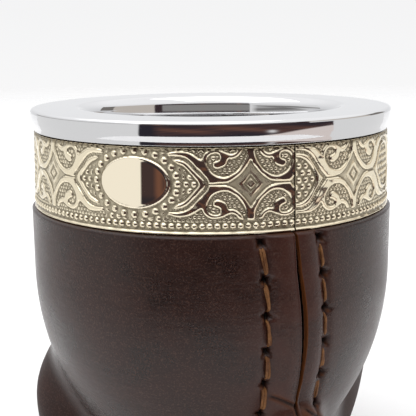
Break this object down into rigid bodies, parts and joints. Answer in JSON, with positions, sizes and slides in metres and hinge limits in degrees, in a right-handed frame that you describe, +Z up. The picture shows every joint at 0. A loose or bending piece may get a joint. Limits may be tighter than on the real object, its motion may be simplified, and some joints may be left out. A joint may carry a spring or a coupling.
{
  "type": "leather-wrapped mate gourd",
  "caption": "Empty mate gourd: a dried calabash cup in a stitched brown leather cover with a lobed foot, a polished rim and an embossed band.",
  "frame": {"origin": "middle of the foot's flat underside, on the axis of the bowl", "axes": "+Z up along the bowl's axis, -Y towards the front, where the band's oval plate and the seam show; +X to the right"},
  "size_m": [0.0935, 0.091, 0.098],
  "materials": {
    "gourd": "dry, matte dried calabash",
    "leather": "smooth dark brown leather, semi-gloss",
    "polished_rim": "mirror polished",
    "champagne_band": "embossed and polished, brown in the recesses",
    "thread": "waxed tan thread"
  },
  "bodies": {
    "root": {"gourd_shell": "gourd", "leather_cover": "leather", "rim": "polished_rim", "band": "champagne_band", "stitch_left_1": "thread", "stitch_left_2": "thread", "stitch_left_3": "thread", "stitch_left_4": "thread", "stitch_left_5": "thread", "stitch_right_1": "thread", "stitch_right_2": "thread", "stitch_right_3": "thread", "stitch_right_4": "thread", "stitch_right_5": "thread"}
  },
  "joints": []
}
